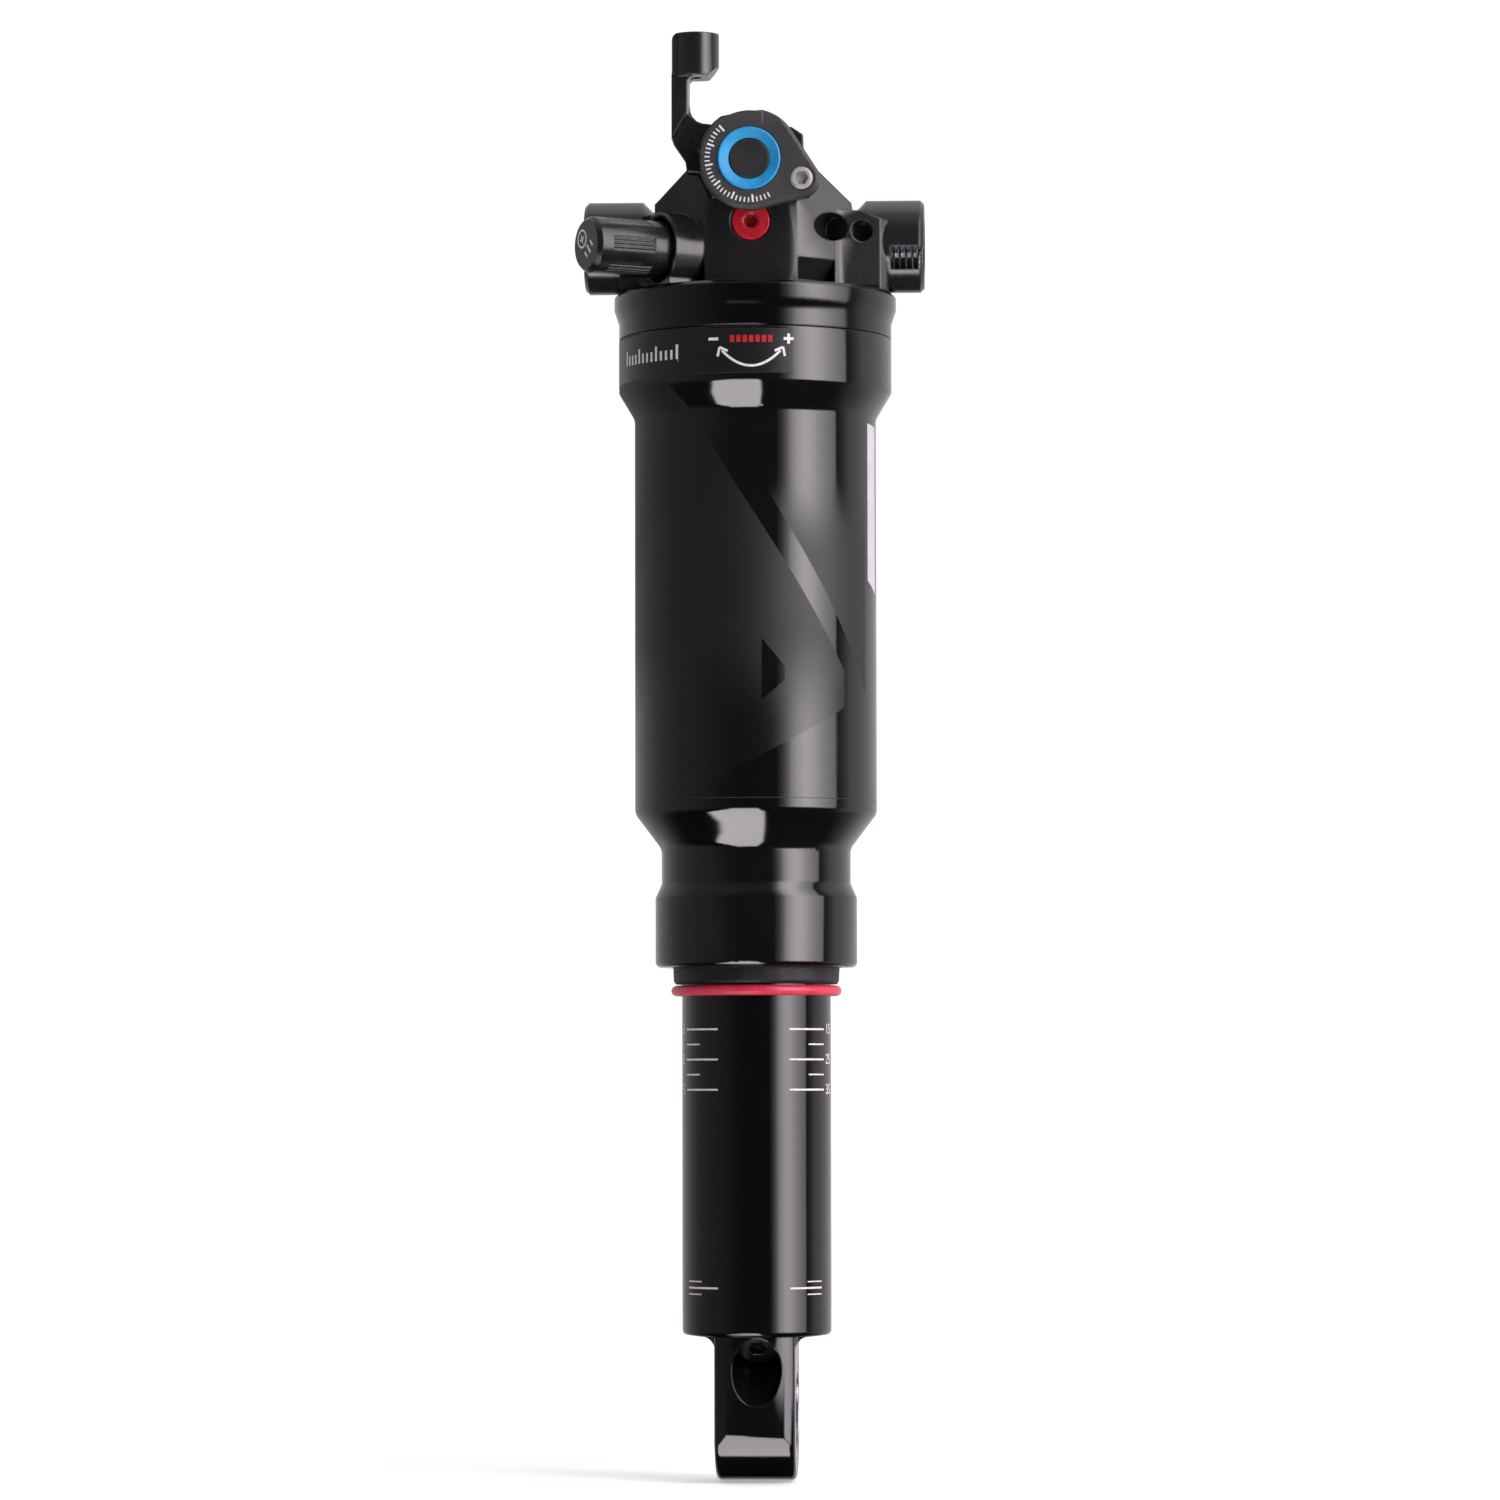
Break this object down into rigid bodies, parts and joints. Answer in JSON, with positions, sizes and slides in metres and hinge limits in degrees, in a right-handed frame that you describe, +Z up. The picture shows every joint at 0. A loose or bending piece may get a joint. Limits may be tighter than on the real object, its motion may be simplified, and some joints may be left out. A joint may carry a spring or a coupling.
{
  "type": "bicycle rear shock",
  "caption": "Trunnion-mount bicycle air shock with a cable-operated lockout, rebound adjuster, air valve and a lower eyelet.",
  "frame": {"origin": "centre of the lower eyelet's bush; the trunnion axis is at z = 185 mm with the shock at full extension", "axes": "+X along the bush and the trunnion axis, +Z up the shock's axis from the eyelet to the head, -Y towards the controls (front)"},
  "size_m": [0.0547, 0.0448, 0.2272],
  "materials": {
    "anodised_black": "gloss black anodised aluminium",
    "head_black": "satin black anodised aluminium",
    "cover_black": "fine matte black anodised aluminium",
    "raw_aluminium": "turned aluminium",
    "steel": "steel",
    "shaft_steel": "ground and plated steel",
    "brass": "turned brass",
    "rubber": "black nitrile rubber",
    "red_rubber": "red silicone rubber",
    "red_anodised": "red anodised aluminium",
    "blue_anodised": "blue anodised aluminium",
    "ptfe": "filled PTFE",
    "green_plastic": "moulded nylon",
    "cap_plastic": "moulded black nylon",
    "print_white": "white printed marks",
    "print_black": "black label film"
  },
  "bodies": {
    "head_and_can": {"trunnion_head": "head_black", "air_can": "anodised_black", "can_head_oring": "rubber", "can_glide_ring": "ptfe", "can_seal": "rubber", "wiper_seal": "rubber", "volume_spacer": "green_plastic", "bottom_out_bumper": "rubber", "damper_shaft": "shaft_steel", "topout_bumper": "rubber", "piston_washer": "steel", "compression_shims": "steel", "main_piston": "raw_aluminium", "piston_band": "ptfe", "rebound_shims": "steel", "piston_nut": "steel", "valve_stem": "brass", "valve_core": "brass", "cable_stop": "head_black", "cable_stop_screws": "steel", "spool_bushing": "ptfe"},
    "damper_body": {"damper_tube": "anodised_black", "lower_eyelet": "anodised_black", "eyelet_bushing": "raw_aluminium", "charge_port_plug": "steel", "air_piston": "raw_aluminium", "air_piston_seal": "rubber", "air_piston_ring": "ptfe", "shaft_bushing": "ptfe", "shaft_seal": "rubber", "seal_retainer": "steel"},
    "floating_piston": {"ifp_piston": "raw_aluminium", "ifp_oring": "rubber"},
    "sag_ring": {"sag_oring": "red_rubber"},
    "lockout_spool": {"cable_spool": "cover_black", "spool_cover": "cover_black", "spool_ring": "blue_anodised", "spool_cap": "cap_plastic", "spool_screw": "steel", "pinch_bolt": "steel", "spool_spring": "steel"},
    "lockout_needle": {"lockout_rod": "steel"},
    "rebound_adjuster": {"rebound_knob": "red_anodised"},
    "rebound_needle": {"rebound_rod": "steel"},
    "cap": {"valve_cap": "cap_plastic"},
    "valve_needle": {"valve_pin": "brass"}
  },
  "joints": [
    {"name": "shaft_slide", "type": "slide", "parent": "head_and_can", "child": "damper_body", "axis": [0, 0, 1], "range_m": [0, 0.0475]},
    {"name": "ifp_slide", "type": "slide", "parent": "damper_body", "child": "floating_piston", "axis": [0, 0, -1], "range_m": [0, 0.0091]},
    {"name": "sag_ring_slide", "type": "slide", "parent": "damper_body", "child": "sag_ring", "axis": [0, 0, -1], "range_m": [0, 0.0476]},
    {"name": "spool_turn", "type": "hinge", "parent": "head_and_can", "child": "lockout_spool", "pos_m": [0, -0.017, 0.1964], "axis": [0, 1, 0], "range_deg": [0, 60]},
    {"name": "lockout_slide", "type": "slide", "parent": "head_and_can", "child": "lockout_needle", "axis": [0, 0, -1], "range_m": [0, 0.001]},
    {"name": "rebound_turn", "type": "hinge", "parent": "head_and_can", "child": "rebound_adjuster", "pos_m": [0, -0.0129, 0.1874], "axis": [0, 1, 0], "range_deg": [-50, 50]},
    {"name": "rebound_slide", "type": "slide", "parent": "head_and_can", "child": "rebound_needle", "axis": [0, 0, 1], "range_m": [-0.00069, 0.00069]},
    {"name": "cap_lift", "type": "slide", "parent": "head_and_can", "child": "cap", "axis": [-0.848, -0.5299, 0], "range_m": [0, 0.014]},
    {"name": "valve_press", "type": "slide", "parent": "head_and_can", "child": "valve_needle", "axis": [0.848, 0.5299, 0], "range_m": [0, 0.0015]}
  ],
  "couplings": [
    {"joint": "ifp_slide", "follows": "shaft_slide", "ratio": 0.19088},
    {"joint": "sag_ring_slide", "follows": "shaft_slide", "ratio": 1},
    {"joint": "spool_turn", "follows": "lockout_slide", "rad_per_m": 1047.2},
    {"joint": "rebound_turn", "follows": "rebound_slide", "rad_per_m": 1264.7}
  ]
}
